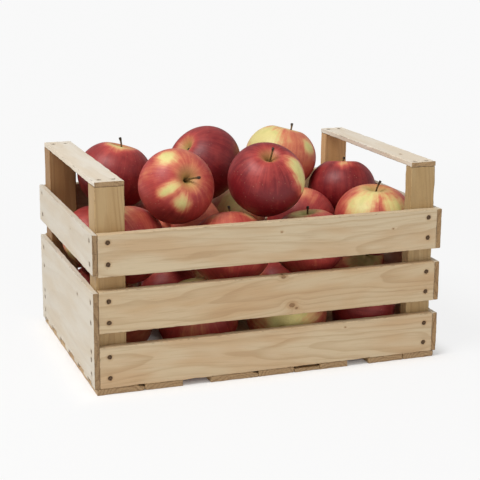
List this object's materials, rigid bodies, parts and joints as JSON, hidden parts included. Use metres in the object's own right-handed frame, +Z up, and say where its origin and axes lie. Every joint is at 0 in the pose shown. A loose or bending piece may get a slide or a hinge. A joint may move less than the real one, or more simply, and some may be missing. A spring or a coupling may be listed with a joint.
{
  "type": "crate of apples",
  "caption": "Open rectangular crate of nailed wooden slats with corner posts and two raised handle bars, heaped with red and yellow-blushed apples.",
  "frame": {"origin": "middle of the crate's footprint, on the surface that it stands on", "axes": "+X along the crate towards the right end with its three boards, +Y from the front slats to the back, +Z up"},
  "size_m": [0.38, 0.256, 0.2359],
  "materials": {
    "slat_wood": "planed raw softwood, satin",
    "end_wood": "planed raw softwood, pale, satin",
    "post_wood": "sawn raw softwood, matte",
    "floor_wood": "sawn raw softwood, matte",
    "nail_steel": "dull, browned",
    "apple_red": "waxy skin, dark red with streaks",
    "apple_blush": "waxy skin, yellow-green with a red blush"
  },
  "bodies": {
    "root": {"front_left_post": "post_wood", "front_right_post": "post_wood", "front_bottom_slat": "slat_wood", "front_middle_slat": "slat_wood", "front_top_slat": "slat_wood", "back_left_post": "post_wood", "back_right_post": "post_wood", "back_bottom_slat": "slat_wood", "back_middle_slat": "slat_wood", "back_top_slat": "slat_wood", "left_panel": "end_wood", "left_top_board": "end_wood", "right_bottom_board": "end_wood", "right_middle_board": "end_wood", "right_top_board": "end_wood", "left_handle_bar": "end_wood", "right_handle_bar": "end_wood", "floor_board_1": "floor_wood", "floor_board_2": "floor_wood", "floor_board_3": "floor_wood", "floor_board_4": "floor_wood", "floor_board_5": "floor_wood", "floor_board_6": "floor_wood", "floor_board_7": "floor_wood", "floor_board_8": "floor_wood", "front_nails": "nail_steel", "back_nails": "nail_steel", "left_nails": "nail_steel", "right_nails": "nail_steel", "handle_nails": "nail_steel", "floor_nails": "nail_steel", "apple_01": "apple_red", "apple_02": "apple_red", "apple_03": "apple_blush", "apple_04": "apple_red", "apple_05": "apple_blush", "apple_06": "apple_red", "apple_07": "apple_blush", "apple_08": "apple_red", "apple_09": "apple_blush", "apple_10": "apple_red", "apple_11": "apple_blush", "apple_12": "apple_red", "apple_13": "apple_red", "apple_14": "apple_red", "apple_15": "apple_red", "apple_16": "apple_red", "apple_17": "apple_blush", "apple_18": "apple_red", "apple_19": "apple_red", "apple_20": "apple_blush", "apple_21": "apple_red", "apple_22": "apple_red", "apple_23": "apple_red", "apple_24": "apple_red", "apple_25": "apple_red", "apple_26": "apple_blush"}
  },
  "joints": []
}
